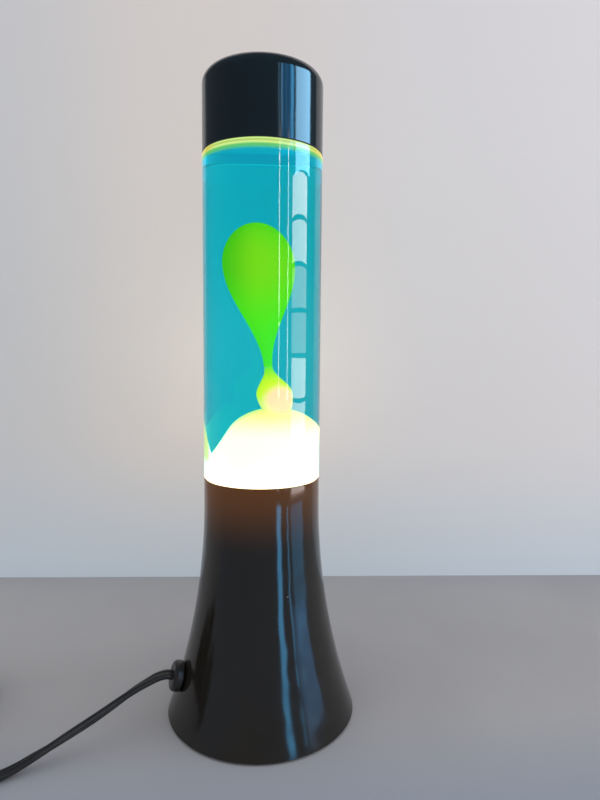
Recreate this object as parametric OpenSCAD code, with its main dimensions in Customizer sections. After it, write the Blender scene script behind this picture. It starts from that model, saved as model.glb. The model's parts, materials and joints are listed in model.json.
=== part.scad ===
// Liquid motion lamp: a sealed glass bottle of coloured liquid and wax stands in the mouth of a
// trumpet-shaped metal base, over a small reflector bulb that lights and warms it. A cap slips over
// the bottle's neck. A flat two-core lead leaves the base through a bushing and carries a rocker
// switch, a tied coil and a plug. The table is z = 0, the lamp stands on the z axis, its front is -y.

/* [Lamp] */
// Height of the whole lamp
total_h = 300; // [285:1:330]
// Diameter of the bottle, which the cap and the mouth of the base match
tube_d = 55; // [52:0.5:60]

/* [Base] */
// Height of the base's mouth above the table
base_h = 115.5; // [112:0.5:125]
// Diameter across the foot of the base
foot_d = 91.2; // [86:0.2:104]
// Length of the straight stretch below the mouth
neck_len = 10.5; // [8:0.5:14]
// Thickness of the base's sheet metal
shell_wall = 1; // [0.7:0.1:1.5]
// Gap between the rim of the foot and the table
rim_gap = 0.8; // [0.5:0.1:1.2]
// Thickness of the base plate
plate_t = 2; // [1.5:0.1:3]
// Height of the rubber feet
foot_h = 1.6; // [1.4:0.1:2.4]
// Diameter of a rubber foot
foot_pad_d = 10; // [7:0.5:11]
// Diameter of a vent hole in the base plate
vent_d = 4.4; // [3:0.1:5]
// Vent holes in the base plate
vent_count = 12; // [8:1:16]

/* [Bottle] */
// Thickness of the glass
glass_wall = 2.2; // [1.6:0.1:2.8]
// Thickness of the bottle's floor
floor_t = 3; // [2:0.1:4]
// How deep the bottle's foot goes into the base
spigot_len = 10; // [7:0.5:12]
// Radial gap between the bottle's foot and the mouth
spigot_gap = 0.6; // [0.4:0.1:1]
// Height of the solid glass edge under the cap
shoulder_t = 3; // [2:0.1:4]
// Length of the collar that the cap slips over
collar_len = 6; // [4:0.5:8]
// Diameter of the bottle's neck
finish_d = 32; // [26:0.5:36]
// Length of the bottle's neck
finish_len = 12.5; // [11:0.5:14]
// Thickness of the closure's metal
closure_t = 0.8; // [0.5:0.1:1.2]
// Thickness of the closure's liner
liner_t = 1.2; // [0.8:0.1:1.6]

/* [Cap] */
// Height of the cap
cap_h = 35.5; // [34:0.5:45]
// Thickness of the cap's wall
cap_wall = 1.6; // [1.2:0.1:2]
// Radius of the cap's top edge
cap_edge_r = 6; // [3:0.5:8]
// Radial gap between the cap and the bottle's collar
cap_gap = 0.4; // [0.3:0.1:0.8]

/* [Wax] */
// Radius of the mound's dome
mound_r = 17.5; // [15:0.5:20]
// Height of the mound's dome above the bottle's floor
mound_h = 40.8; // [34:0.2:46]
// Radius of the bead on the mound
bead_r = 6.3; // [4:0.1:8]
// Radius of the rising drop
blob_r = 12.4; // [8:0.1:14]
// Radius of the thread of wax between bead and drop
thread_r = 1.5; // [1:0.1:2.5]
// Wire diameter of the heating coil's bundle
heat_coil_d = 4.4; // [3:0.1:6]

/* [Bulb and holder] */
// Diameter of the reflector bulb
bulb_d = 39; // [35:0.5:41]
// Length of the bulb
bulb_len = 66; // [62:0.5:70]
// Gap between the bulb and the bottle
bulb_gap = 7.5; // [7:0.5:11]
// Diameter of the bulb's screw cap
screw_d = 16.6; // [14:0.1:17]
// Outer diameter of the lamp holder
holder_d = 26; // [24:0.5:30]
// Thickness of the bracket's steel
bracket_t = 1.2; // [0.8:0.1:1.6]
// Width of the bracket
bracket_w = 16; // [13:0.5:20]

/* [Lead] */
// Width of the flat lead
cord_w = 5.2; // [4.6:0.1:5.4]
// Thickness of the flat lead
cord_t = 3; // [2.6:0.1:3.1]
// Diameter of the bushing's head
bushing_d = 14; // [12:0.5:16]
// Thickness of the bushing's head
bushing_t = 4.5; // [3:0.5:6]
// Height of the bushing's centre above the table
bushing_z = 21.2; // [18:0.2:28]

/* [Switch and plug] */
// Length of the switch
switch_l = 50; // [46:1:50]
// Width of the switch
switch_w = 20; // [18:0.5:24]
// Height of the switch
switch_h = 14; // [13:0.5:17]
// Length of the rocker
rocker_l = 15; // [12:0.5:17]
// Tilt of the rocker to each side
rocker_tilt = 9; // [6:0.5:11]
// Diameter of the rocker's pin
pin_d = 2; // [1.6:0.1:2.4]
// Length of the plug's body
plug_l = 28; // [24:0.5:32]
// Width of the plug's body
plug_w = 24; // [22:0.5:28]
// Height of the plug's body
plug_h = 14; // [12:0.5:17]

/* [Hidden] */

$fn = 96;
// Facets of the wide circle that flares the base, and of the wax and bulb outlines
flare_fn = 720;
curve_steps = 14;
// Small cut overlap, the gap between fixed pieces, and the gap between pieces that come apart
eps = 1;
snug = 0.15;
clear = 0.3;

// Base: the flare is an arc that leaves the straight neck smoothly and meets the rim of the foot
tube_r = tube_d / 2;
flare_top = base_h - neck_len;
flare_rise = flare_top - rim_gap;
flare_out = (foot_d - tube_d) / 2;
flare_r = (pow(flare_rise, 2) + pow(flare_out, 2)) / (2 * flare_out);
function shell_r(z, inset) =
    z >= flare_top ? tube_r - inset
    : tube_r + flare_r - sqrt(pow(flare_r + inset, 2) - pow(flare_top - z, 2));

// Base plate, its screws, lugs and feet
plate_top = foot_h + plate_t;
plate_r = shell_r(plate_top, shell_wall) - clear;
lug_angles = [30, 150, 270];
lug_w = 9;
lug_h = 8;
lug_deep = 8;
lug_r = plate_r - lug_deep / 2 - 2;
screw_r = 1.4;
screw_head_r = 2.6;
screw_head_h = 1.1;
foot_angles = [45, 135, 225, 315];
foot_ring_r = plate_r - foot_pad_d / 2 - 3;
vent_ring_r = 25;

// Bottle: it stands on pads on a ring inside the neck of the base
seat_z = base_h - spigot_len;
step_z = base_h + clear;
shoulder_z = total_h - cap_h;
spigot_r = tube_r - shell_wall - spigot_gap;
inner_r = tube_r - glass_wall;
spigot_in = spigot_r - glass_wall;
floor_z = seat_z + floor_t;
collar_r = tube_r - cap_wall - cap_gap;
collar_in = collar_r - glass_wall;
collar_z = shoulder_z + collar_len;
slope_h = 5;
finish_r = finish_d / 2;
finish_in = finish_r - glass_wall;
finish_z0 = collar_z + slope_h;
finish_z = finish_z0 + finish_len;
glass_edge_r = 0.8;
heel_r = 2;
inner_slope = 1.5;
thread_bead_r = 0.6;
thread_pitch = 4;
fill_z = collar_z - 2;
closure_in = finish_r + thread_bead_r + clear;
closure_r = closure_in + closure_t;
closure_z = finish_z + liner_t + closure_t;

// Support ring under the bottle
pad_t = 1;
pad_r = 1.8;
pad_angles = [90, 210, 330];
ring_top = seat_z - pad_t;
ring_t = 1.2;
ring_skirt = 8;
ring_r = tube_r - shell_wall - snug;
ring_hole_r = bulb_d / 2 + 1.5;

// Wax: a domed mound, a bead on it, and a drop that is about to part from the bead
wax_gap = 0.3;
pool_h = 10;
mound_x = 4.3;
mound_skirt_a = 24.2;
mound_z = floor_z + mound_h - mound_r;
bead_z = mound_z + mound_r + bead_r;
bead_neck_h = 12.4;
bead_root_h = 11.5;
bead_lean = 10;
bead_tip_x = mound_x - bead_neck_h * sin(bead_lean);
bead_tip_z = bead_z + bead_neck_h * cos(bead_lean);
blob_tail_h = 47;
blob_crown_h = 18.4;
blob_lean = 4.2;
blob_z0 = bead_tip_z + wax_gap;
heat_ring_r = 15;

// Bulb and holder, placed from the bottle's floor downwards
bulb_z = seat_z - bulb_gap - bulb_len;
bulb_glass = 0.8;
bulb_crown_h = 12;
bulb_neck_r = screw_d / 2 - 0.7;
cap_top = 20;
insulator_z = 1.4;
cap_z = 4.6;
tip_r = 3;
screw_skin = 0.5;
bulb_tail_h = bulb_len - bulb_crown_h - cap_top - 2;
contact_h = 3;
contact_t = 0.6;
holder_floor = 5;
holder_z = bulb_z - snug - contact_h - holder_floor;
holder_r = holder_d / 2;
holder_rim = bulb_z + cap_top - 1;
sleeve_in = screw_d / 2 + 0.4;
sleeve_t = 1.2;
nipple_r = 5;
nipple_bore_r = 3.4;
nipple_down = 6.5;
nut_r = 8;
nut_h = 3;
leg_y = 13;
flange_l = 9;
flange_screw_y = 18;
terminal_a = 32;
terminal_head_r = 2.3;
terminal_head_t = 1.6;
terminal_deep = 5.5;

// Bushing: it sits square to the flared wall, at the left of the front
bushing_az = 195;
bushing_tilt = asin((flare_top - bushing_z) / flare_r);
bushing_r = bushing_d / 2;
bushing_edge_r = 1.8;
bushing_shank_r = 4.4;
bushing_in = 5;
bushing_lip_r = 5.2;
bushing_lip_t = 2.6;
tail_l = 9;
wall_spot = concat(shell_r(bushing_z, 0) * [cos(bushing_az), sin(bushing_az)], [bushing_z]);
outward = [cos(bushing_tilt) * cos(bushing_az), cos(bushing_tilt) * sin(bushing_az), sin(bushing_tilt)];
exit_spot = wall_spot + (clear + bushing_t) * outward;
tail_start = wall_spot - bushing_in * outward;
tail_end = tail_start - tail_l * outward;
core_gap = 2.6;
core_d = 1.6;

// Switch on the lead: it lies along x, with the lead's middle at the seam of its two shells
switch_spot = [-152, -52, 0.2];
seam_h = 6;
switch_corner_r = 4;
switch_wall = 1.6;
room_l = 28;
switch_screw_x = 18;
pin_r = pin_d / 2;
pin_fit = 0.05;
pin_z = switch_h - 3.5;
rocker_w = 8.4;
rocker_gap = 0.8;
rocker_rise = 3.2;
rocker_dip = 1;
rocker_drop = 1.5;
contact_x = 5;

// Coil and plug: the coil spirals in on the table, climbs, and spirals out on top of itself
coil_spot = [-170, -3, 0];
coil_r = 34.5;
coil_pitch = 3.6;
coil_in_turns = 3;
coil_out_turns = 2.5;
coil_climb_turns = 0.5;
coil_climb_dip = 1.8;
coil_z = 3.4;
coil_layer = 6.2;
coil_rings = 24;
coil_turns = coil_in_turns + coil_climb_turns + coil_out_turns;
coil_inner_r = coil_r - coil_pitch * coil_in_turns;
coil_top = coil_z + coil_layer + cord_w / 2;
tie_t = 0.5;
tie_w = 7;
plug_spot = coil_spot + [4.8, -21, coil_top + clear + plug_h / 2];
plug_edge_r = 3;
blade_l = 16;
blade_w = 6.3;
blade_t = 1.5;
blade_gap = 12.7;

// The lead's route from the bushing to the switch: x, y, z and the roll of its flat side
route_to_switch = [
    [-48.5, -13.1, 22.8, 4], [-52.6, -14.8, 21.4, -8], [-57.5, -17.2, 19.6, -22], [-63, -20.4, 17.2, -38],
    [-69, -24.2, 14.5, -50], [-75, -28.2, 12.1, -55], [-82, -32.8, 9.6, -50], [-89, -37.4, 7.1, -38],
    [-95.5, -41.6, 5, -22], [-102, -45.6, 3, -10], [-107, -48.5, 2.3, 0], [-113, -51, 3, 0],
    [-119, -52, 5.4, 0]
];
// From the switch to the coil, measured from the coil's centre
route_to_coil = [
    [-18, -47.2, 5, 10], [-25.5, -42.6, 4, 25], [-32, -36, 3.4, 45], [-37, -28, 3.2, 65],
    [-40.5, -19, 3.2, 80], [-42, -9.5, 3.2, 90], [-41.5, 0, 3.2, 90], [-39, 9.5, 3.2, 90],
    [-34.5, 18.5, 3.3, 90], [-28, 26, 3.4, 90], [-19.5, 31.5, 3.4, 90], [-11, 34.2, 3.4, 90]
];
// From the coil up and over to the plug, measured from the coil's centre
route_to_plug = [
    [13, 31.6, 10.2, 90], [20.5, 27.4, 11.4, 90], [27, 21, 12.8, 90], [31.5, 13.2, 14.2, 90],
    [33.6, 5, 15.4, 90], [33, -3.5, 16.8, 75], [29.6, -11, 18, 55], [23.6, -17, 18.9, 35],
    [16.4, -20.4, 19.4, 15]
];

// Half a wave that falls smoothly from 1 to 0
function ease(u) = (1 + cos(180 * u)) / 2;
function unit(v) = v / norm(v);
function place(p) = [p[0], p[1], p[2]];
function arc(middle, r, from, to) = [
    for (i = [0 : curve_steps])
        middle + r * [cos(from + (to - from) * i / curve_steps), sin(from + (to - from) * i / curve_steps)]
];

// Corners of the flat lead's section, with eight sides or with six
function flat_eight(w, t) = [
    [w / 2, t / 5], [w / 2 - t / 4, t / 2], [t / 4 - w / 2, t / 2], [-w / 2, t / 5],
    [-w / 2, -t / 5], [t / 4 - w / 2, -t / 2], [w / 2 - t / 4, -t / 2], [w / 2, -t / 5]
];
function flat_six(w, t) = [
    [w / 2, 0], [(w - t) / 2, t / 2], [(t - w) / 2, t / 2],
    [-w / 2, 0], [(t - w) / 2, -t / 2], [(w - t) / 2, -t / 2]
];
function round_six(d) = [for (i = [0 : 5]) d / 2 * [cos(60 * i), sin(60 * i)]];

// One ring of a swept tube: the section stands square to the route and is rolled about it
function heading(route, i) = unit(
    place(route[min(i + 1, len(route) - 1)]) - place(route[max(i - 1, 0)])
);
function ring(route, i, section) =
    let (
        along = heading(route, i),
        side = unit(cross(along, [0, 0, 1])),
        up = cross(side, along),
        wide = side * cos(route[i][3]) + up * sin(route[i][3]),
        thin = up * cos(route[i][3]) - side * sin(route[i][3])
    )
    [for (s = section) place(route[i]) + wide * s[0] + thin * s[1]];

// Tube swept along a route, with flat ends
module tube(route, section) {
    sides = len(section);
    last = (len(route) - 1) * sides;
    points = [for (i = [0 : len(route) - 1]) each ring(route, i, section)];
    walls = [
        for (i = [0 : len(route) - 2], k = [0 : sides - 1])
            let (a = i * sides + k, b = i * sides + (k + 1) % sides)
                each [[a, b, b + sides], [a, b + sides, a + sides]]
    ];
    ends = [for (k = [1 : sides - 2]) each [[0, k + 1, k], [last, last + k, last + k + 1]]];
    polyhedron(points, concat(walls, ends));
}

// Drop of wax or bulb of glass: a round crown above its widest place and a long tail below it
module drop(belly_r, crown_h, tail_r, tail_h, grow) {
    tail = [
        for (i = [0 : curve_steps])
            [tail_r + (belly_r - tail_r) * ease(1 - i / curve_steps) + grow,
             (i == 0 ? -grow : 0) - tail_h * (1 - i / curve_steps)]
    ];
    crown = [
        for (i = [1 : curve_steps])
            [(belly_r + grow) * cos(90 * i / curve_steps), (crown_h + grow) * sin(90 * i / curve_steps)]
    ];
    rotate_extrude() polygon(concat([[0, -tail_h - grow]], tail, crown));
}

// Area between the lamp's axis and the base's wall, drawn in by an inset
module base_area(inset, z0, z1) {
    difference() {
        translate([0, z0]) square([foot_d / 2 + eps, flare_top - z0]);
        translate([tube_r + flare_r, flare_top]) circle(flare_r + inset, $fn = flare_fn);
    }
    translate([0, flare_top - eps]) square([tube_r - inset, z1 - flare_top + eps]);
}

// Outline of the bottle's inside, drawn in by an inset
function cavity(inset) = [
    [0, floor_z + inset],
    [spigot_in - inset, floor_z + inset],
    [spigot_in - inset, step_z + inset],
    [inner_r - inset, step_z + inset + inner_slope],
    [inner_r - inset, shoulder_z - shoulder_t - inner_slope - inset],
    [collar_in - inset, shoulder_z - shoulder_t - inset],
    [collar_in - inset, collar_z - inner_slope - inset],
    [finish_in - inset, finish_z0 - inner_slope - inset],
    [finish_in - inset, finish_z + eps],
    [0, finish_z + eps]
];

module cap() {
    inner_h = cap_h - cap_wall;
    inner_edge_r = cap_edge_r - cap_wall;
    color([0.05, 0.06, 0.07])
        translate([0, 0, shoulder_z])
            rotate_extrude() difference() {
                polygon(concat(
                    [[0, 0], [tube_r, 0]],
                    arc([tube_r - cap_edge_r, cap_h - cap_edge_r], cap_edge_r, 0, 90),
                    [[0, cap_h]]
                ));
                polygon(concat(
                    [[0, -eps], [tube_r - cap_wall, -eps]],
                    arc([tube_r - cap_edge_r, inner_h - inner_edge_r], inner_edge_r, 0, 90),
                    [[0, inner_h]]
                ));
            }
}

module bottle() {
    color([0.75, 0.9, 0.92, 0.35]) {
        rotate_extrude() difference() {
            polygon(concat(
                [[0, seat_z]],
                arc([spigot_r - heel_r, seat_z + heel_r], heel_r, -90, 0),
                [[spigot_r, step_z]],
                arc([tube_r - glass_edge_r, step_z + glass_edge_r], glass_edge_r, -90, 0),
                arc([tube_r - glass_edge_r, shoulder_z - glass_edge_r], glass_edge_r, 0, 90),
                [[collar_r, shoulder_z], [collar_r, collar_z], [finish_r, finish_z0]],
                [[finish_r, finish_z], [0, finish_z]]
            ));
            polygon(cavity(0));
        }
        for (i = [1, 2])
            translate([0, 0, finish_z0 + i * thread_pitch])
                rotate_extrude() translate([finish_r, 0]) intersection() {
                    circle(thread_bead_r);
                    translate([-glass_wall / 2, -thread_bead_r]) square([glass_wall, 2 * thread_bead_r]);
                }
    }
}

module bottle_closure() {
    skirt_z = finish_z0 + inner_slope;
    color([0.75, 0.72, 0.62])
        difference() {
            translate([0, 0, skirt_z]) cylinder(r = closure_r, h = closure_z - skirt_z);
            translate([0, 0, skirt_z - eps])
                cylinder(r = closure_in, h = closure_z - closure_t - skirt_z + eps);
        }
}

module closure_liner() {
    color([0.92, 0.92, 0.88])
        translate([0, 0, finish_z]) cylinder(r = closure_in - snug, h = liner_t);
}

module liquid() {
    color([0.05, 0.62, 0.72, 0.5])
        difference() {
            rotate_extrude() intersection() {
                polygon(cavity(snug));
                square([tube_r, fill_z]);
            }
            pool_form(wax_gap);
            blob_form(wax_gap);
            translate([bead_tip_x, 0, bead_tip_z]) sphere(thread_r + eps);
        }
}

// The wax that lies in the bottle, with its bead, larger by grow all round
module pool_form(grow) {
    dome_r = mound_r + grow;
    skirt_top = mound_z + dome_r * sin(mound_skirt_a);
    foot_z = floor_z - eps;
    skirt_r = dome_r * cos(mound_skirt_a) + (skirt_top - foot_z) * tan(mound_skirt_a);
    translate([0, 0, foot_z]) cylinder(r = tube_r, h = pool_h + eps + grow);
    translate([mound_x, 0, 0]) {
        rotate_extrude() polygon(concat(
            [[0, foot_z], [skirt_r, foot_z]],
            arc([0, mound_z], dome_r, mound_skirt_a, 90)
        ));
        translate([0, 0, bead_z]) rotate([0, 180 - bead_lean, 0])
            drop(bead_r, bead_root_h, thread_r, bead_neck_h, grow);
    }
}

module wax_pool() {
    color([1, 0.96, 0.55])
        difference() {
            intersection() {
                rotate_extrude() polygon(cavity(snug));
                pool_form(0);
            }
            translate([0, 0, floor_z + heat_coil_d / 2 + snug])
                rotate_extrude() translate([heat_ring_r, 0]) circle(heat_coil_d / 2 + snug);
        }
}

module blob_form(grow) {
    translate([bead_tip_x, 0, blob_z0]) rotate([0, -blob_lean, 0])
        translate([0, 0, blob_tail_h]) drop(blob_r, blob_crown_h, thread_r, blob_tail_h, grow);
}

module wax_blob() {
    color([0.35, 0.8, 0.1]) blob_form(0);
}

module heating_coil() {
    color([0.7, 0.7, 0.72])
        translate([0, 0, floor_z + heat_coil_d / 2 + snug])
            rotate_extrude() translate([heat_ring_r, 0]) circle(heat_coil_d / 2);
}

module at_bushing() {
    translate(wall_spot) rotate([0, 90 - bushing_tilt, bushing_az]) children();
}

module base_shell() {
    color([0.04, 0.04, 0.045])
        difference() {
            rotate_extrude() difference() {
                base_area(0, rim_gap, base_h);
                base_area(shell_wall, rim_gap - eps, base_h + eps);
            }
            at_bushing() translate([0, 0, -bushing_in])
                cylinder(r = bushing_shank_r + clear, h = 2 * bushing_in);
        }
}

module support_ring() {
    color([0.7, 0.7, 0.72])
        rotate_extrude() {
            translate([ring_hole_r, ring_top - ring_t]) square([ring_r - ring_hole_r, ring_t]);
            translate([ring_r - ring_t, ring_top - ring_skirt]) square([ring_t, ring_skirt]);
        }
}

module seat_pads() {
    color([0.85, 0.85, 0.82])
        for (a = pad_angles)
            rotate(a) translate([(ring_hole_r + ring_r) / 2, 0, ring_top]) cylinder(r = pad_r, h = pad_t);
}

module shell_lugs() {
    color([0.6, 0.6, 0.62])
        difference() {
            intersection() {
                rotate_extrude() base_area(shell_wall + snug, plate_top, base_h);
                for (a = lug_angles)
                    rotate(a) translate([lug_r - lug_deep / 2, -lug_w / 2, plate_top])
                        cube([2 * lug_deep, lug_w, lug_h]);
            }
            for (a = lug_angles)
                rotate(a) translate([lug_r, 0, plate_top - eps])
                    cylinder(r = screw_r + snug, h = lug_h + 2 * eps);
        }
}

module base_plate() {
    color([0.12, 0.12, 0.12])
        difference() {
            translate([0, 0, foot_h]) cylinder(r = plate_r, h = plate_t);
            for (i = [0 : vent_count - 1])
                rotate(360 * (i + 0.5) / vent_count) translate([vent_ring_r, 0, 0])
                    cylinder(d = vent_d, h = plate_top + eps);
            for (a = lug_angles)
                rotate(a) translate([lug_r, 0, 0]) cylinder(r = screw_r + snug, h = plate_top + eps);
            for (s = [-1, 1])
                translate([0, s * flange_screw_y, 0]) cylinder(r = screw_r + snug, h = plate_top + eps);
        }
}

// Pan-head screw with its head's top at the origin and its shank below
module pan_screw(shank_l) {
    translate([0, 0, -screw_head_h]) cylinder(r = screw_head_r, h = screw_head_h);
    translate([0, 0, -screw_head_h - shank_l]) cylinder(r = screw_r, h = shank_l + screw_head_h / 2);
}

module plate_screws() {
    color([0.65, 0.65, 0.66])
        for (a = lug_angles)
            rotate(a) translate([lug_r, 0, foot_h - screw_head_h]) mirror([0, 0, 1])
                pan_screw(plate_t + lug_h - eps);
}

module rubber_feet() {
    color([0.06, 0.06, 0.06])
        for (a = foot_angles)
            rotate(a) translate([foot_ring_r, 0, 0]) cylinder(d = foot_pad_d, h = foot_h);
}

module holder_bracket() {
    leg_h = holder_z - plate_top;
    color([0.72, 0.72, 0.74])
        difference() {
            union() {
                translate([-bracket_w / 2, -leg_y - bracket_t, holder_z - bracket_t])
                    cube([bracket_w, 2 * (leg_y + bracket_t), bracket_t]);
                for (s = [0, 1])
                    mirror([0, s, 0]) {
                        translate([-bracket_w / 2, leg_y, plate_top]) cube([bracket_w, bracket_t, leg_h]);
                        translate([-bracket_w / 2, leg_y, plate_top]) cube([bracket_w, flange_l, bracket_t]);
                    }
            }
            translate([0, 0, holder_z - bracket_t - eps])
                cylinder(r = nipple_r + snug, h = bracket_t + 2 * eps);
            for (s = [-1, 1])
                translate([0, s * flange_screw_y, plate_top - eps])
                    cylinder(r = screw_r + snug, h = bracket_t + 2 * eps);
        }
}

module bracket_screws() {
    color([0.65, 0.65, 0.66])
        for (s = [-1, 1])
            translate([0, s * flange_screw_y, plate_top + bracket_t + screw_head_h])
                pan_screw(plate_t + bracket_t);
}

module holder_nipple() {
    nipple_h = nipple_down + holder_floor - contact_t - eps;
    color([0.78, 0.66, 0.36])
        translate([0, 0, holder_z - nipple_down]) difference() {
            cylinder(r = nipple_r, h = nipple_h);
            translate([0, 0, -eps]) cylinder(r = nipple_bore_r, h = nipple_h + 2 * eps);
        }
}

module nipple_nut() {
    color([0.78, 0.66, 0.36])
        translate([0, 0, holder_z - bracket_t - nut_h]) difference() {
            cylinder(r = nut_r, h = nut_h, $fn = 6);
            translate([0, 0, -eps]) cylinder(r = nipple_r + snug, h = nut_h + 2 * eps);
        }
}

module at_terminals() {
    for (s = [-1, 1])
        rotate(bushing_az + s * terminal_a) translate([holder_r, 0, holder_z + holder_floor / 2])
            rotate([0, 90, 0]) children();
}

module holder_body() {
    color([0.88, 0.87, 0.82])
        difference() {
            translate([0, 0, holder_z]) cylinder(r = holder_r, h = holder_rim - holder_z);
            translate([0, 0, holder_z + holder_floor])
                cylinder(r = sleeve_in + sleeve_t + snug, h = holder_rim - holder_z);
            translate([0, 0, holder_z - eps]) cylinder(r = nipple_r + snug, h = holder_floor + 2 * eps);
            at_terminals() translate([0, 0, -terminal_deep - snug])
                cylinder(r = screw_r + snug, h = terminal_deep + eps);
        }
}

module screw_shell() {
    color([0.8, 0.68, 0.35])
        translate([0, 0, holder_z + holder_floor]) difference() {
            cylinder(r = sleeve_in + sleeve_t, h = holder_rim - holder_z - holder_floor - eps);
            translate([0, 0, -eps]) cylinder(r = sleeve_in, h = holder_rim - holder_z);
        }
}

module centre_contact() {
    strip_l = 2 * sleeve_in - 1;
    strip_w = 4;
    color([0.8, 0.68, 0.35])
        translate([-strip_w / 2, -strip_l / 2, holder_z + holder_floor]) {
            cube([strip_w, strip_l, contact_t]);
            cube([strip_w, contact_t, contact_h]);
            translate([0, 0, contact_h - contact_t]) cube([strip_w, strip_l / 2 + tip_r, contact_t]);
        }
}

module terminal_screws() {
    color([0.8, 0.68, 0.35])
        at_terminals() {
            cylinder(r = terminal_head_r, h = terminal_head_t);
            translate([0, 0, -terminal_deep]) cylinder(r = screw_r, h = terminal_deep + terminal_head_t / 2);
        }
}

module bulb_envelope() {
    belly_z = bulb_len - bulb_crown_h;
    color([0.95, 0.95, 0.9, 0.6])
        translate([0, 0, bulb_z]) {
            difference() {
                translate([0, 0, belly_z]) drop(bulb_d / 2, bulb_crown_h, bulb_neck_r, bulb_tail_h, 0);
                translate([0, 0, belly_z])
                    drop(bulb_d / 2, bulb_crown_h, bulb_neck_r, bulb_tail_h, -bulb_glass);
            }
            translate([0, 0, cap_top - 6]) cylinder(r = bulb_neck_r, h = 6 + 2 + bulb_glass / 2);
        }
}

module bulb_screw_cap() {
    cap_len = cap_top - cap_z;
    color([0.82, 0.7, 0.4])
        translate([0, 0, bulb_z + cap_z]) difference() {
            cylinder(d = screw_d, h = cap_len);
            translate([0, 0, screw_skin]) cylinder(r = screw_d / 2 - screw_skin, h = cap_len);
        }
}

module bulb_insulator() {
    color([0.1, 0.1, 0.12])
        translate([0, 0, bulb_z + insulator_z])
            cylinder(r1 = tip_r + 0.4, r2 = screw_d / 2 - 1, h = cap_z - insulator_z);
}

module bulb_tip() {
    color([0.7, 0.7, 0.7]) translate([0, 0, bulb_z]) cylinder(r = tip_r, h = insulator_z);
}

module bulb_filament() {
    stem_z = cap_top + 2 + bulb_glass;
    stem_h = 14;
    wire_r = 0.4;
    splay = 25;
    span = stem_h * sin(splay);
    color([0.85, 0.8, 0.7])
        translate([0, 0, bulb_z + stem_z]) {
            cylinder(r1 = 3.5, r2 = 2, h = stem_h);
            for (s = [-1, 1])
                translate([s * wire_r, 0, stem_h - eps]) rotate([0, s * splay, 0])
                    cylinder(r = wire_r, h = stem_h);
            translate([-span - wire_r, 0, stem_h - eps + stem_h * cos(splay) - wire_r]) rotate([0, 90, 0])
                cylinder(r = wire_r, h = 2 * (span + wire_r));
        }
}

module strain_relief() {
    color([0.03, 0.03, 0.03])
        at_bushing() rotate_extrude() {
            polygon(concat(
                [[0, clear], [bushing_r - bushing_edge_r / 2, clear]],
                arc([bushing_r - bushing_edge_r / 2, clear + bushing_edge_r / 2], bushing_edge_r / 2, -90, 0),
                arc([bushing_r - bushing_edge_r, clear + bushing_t - bushing_edge_r], bushing_edge_r, 0, 90),
                [[0, clear + bushing_t]]
            ));
            translate([0, -bushing_in]) square([bushing_shank_r, bushing_in + clear + bushing_t / 2]);
            translate([0, -bushing_in]) square([bushing_lip_r, bushing_lip_t]);
        }
}

module cord_tail() {
    color([0.03, 0.03, 0.03])
        tube([concat(tail_start, [0]), concat(tail_end, [0])], flat_eight(cord_w, cord_t));
}

// One insulated core, from the tail of the lead to the head of a terminal screw
module lead(s) {
    across = unit(cross(outward, [0, 0, 1]));
    a = bushing_az + s * terminal_a;
    away = [cos(a), sin(a), 0];
    head = (holder_r + terminal_head_t + snug) * away + [0, 0, holder_z + holder_floor / 2];
    start = tail_end - across * s * core_gap / 2;
    tube([for (p = [start, start - 3 * outward, head + 6 * away, head]) concat(p, [0])], round_six(core_d));
}

module live_lead() {
    color([0.35, 0.2, 0.12]) lead(1);
}

module neutral_lead() {
    color([0.12, 0.25, 0.6]) lead(-1);
}

module cord_to_switch() {
    entry = switch_spot + [switch_l / 2, 0, seam_h];
    color([0.03, 0.03, 0.03])
        tube(concat(
            [concat(exit_spot, [15]), concat(exit_spot + cord_w / 2 * outward, [12])],
            route_to_switch,
            [concat(entry + [cord_w, 0, 0], [0]), concat(entry, [0])]
        ), flat_eight(cord_w, cord_t));
}

// Rectangle with round corners
module round_rect(l, w, r) {
    square([l - 2 * r, w], center = true);
    square([l, w - 2 * r], center = true);
    for (x = [-1, 1], y = [-1, 1])
        translate([x * (l / 2 - r), y * (w / 2 - r)]) circle(r);
}

module switch_bottom() {
    color([0.05, 0.05, 0.05])
        translate(switch_spot) difference() {
            linear_extrude(seam_h) round_rect(switch_l, switch_w, switch_corner_r);
            translate([-room_l / 2, switch_wall - switch_w / 2, switch_wall])
                cube([room_l, switch_w - 2 * switch_wall, seam_h]);
            for (s = [-1, 1])
                translate([s * switch_screw_x, 0, -eps]) {
                    cylinder(r = screw_r + snug, h = seam_h + 2 * eps);
                    cylinder(r = screw_head_r + snug, h = eps + screw_head_h + snug);
                }
        }
}

module switch_top() {
    cheek_gap = rocker_w / 2 + rocker_gap;
    color([0.05, 0.05, 0.05])
        translate(switch_spot) difference() {
            translate([0, 0, seam_h]) linear_extrude(switch_h - seam_h)
                round_rect(switch_l, switch_w, switch_corner_r);
            translate([-room_l / 2, -cheek_gap, seam_h - eps])
                cube([room_l, 2 * cheek_gap, switch_h - seam_h - switch_wall + eps]);
            translate([-rocker_l / 2 - rocker_gap, -cheek_gap, seam_h])
                cube([rocker_l + 2 * rocker_gap, 2 * cheek_gap, switch_h]);
            translate([0, switch_w / 2 - switch_wall, pin_z]) rotate([90, 0, 0])
                cylinder(r = pin_r + pin_fit, h = switch_w - 2 * switch_wall);
            for (s = [-1, 1])
                translate([s * switch_screw_x, 0, seam_h - eps]) cylinder(r = screw_r + snug, h = seam_h);
        }
}

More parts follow.
